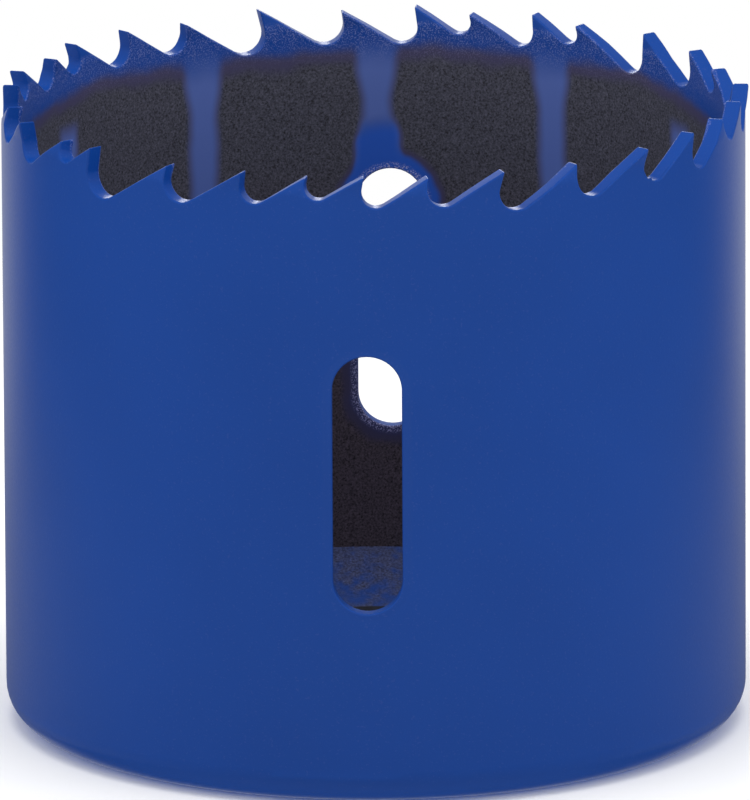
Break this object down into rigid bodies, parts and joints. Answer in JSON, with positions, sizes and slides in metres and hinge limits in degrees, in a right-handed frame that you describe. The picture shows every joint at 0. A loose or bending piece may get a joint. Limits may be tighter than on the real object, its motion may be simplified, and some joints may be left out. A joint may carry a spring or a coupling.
{
  "type": "hole saw",
  "caption": "Cup-shaped bi-metal hole saw with set hook teeth round its open rim, upright plug slots in its wall and a thick back plate with an arbor thread and drive pin holes.",
  "frame": {"origin": "on the cup's axis, at the flat back face that it stands on", "axes": "+Z along the axis from the back face to the teeth, -Y towards the front slot, +X to the right seen from the front"},
  "size_m": [0.0543, 0.0545, 0.0467],
  "materials": {
    "painted_strip": "satin",
    "painted_plate": "satin"
  },
  "bodies": {
    "root": {"toothed_wall": "painted_strip", "back_plate": "painted_plate"}
  },
  "joints": []
}
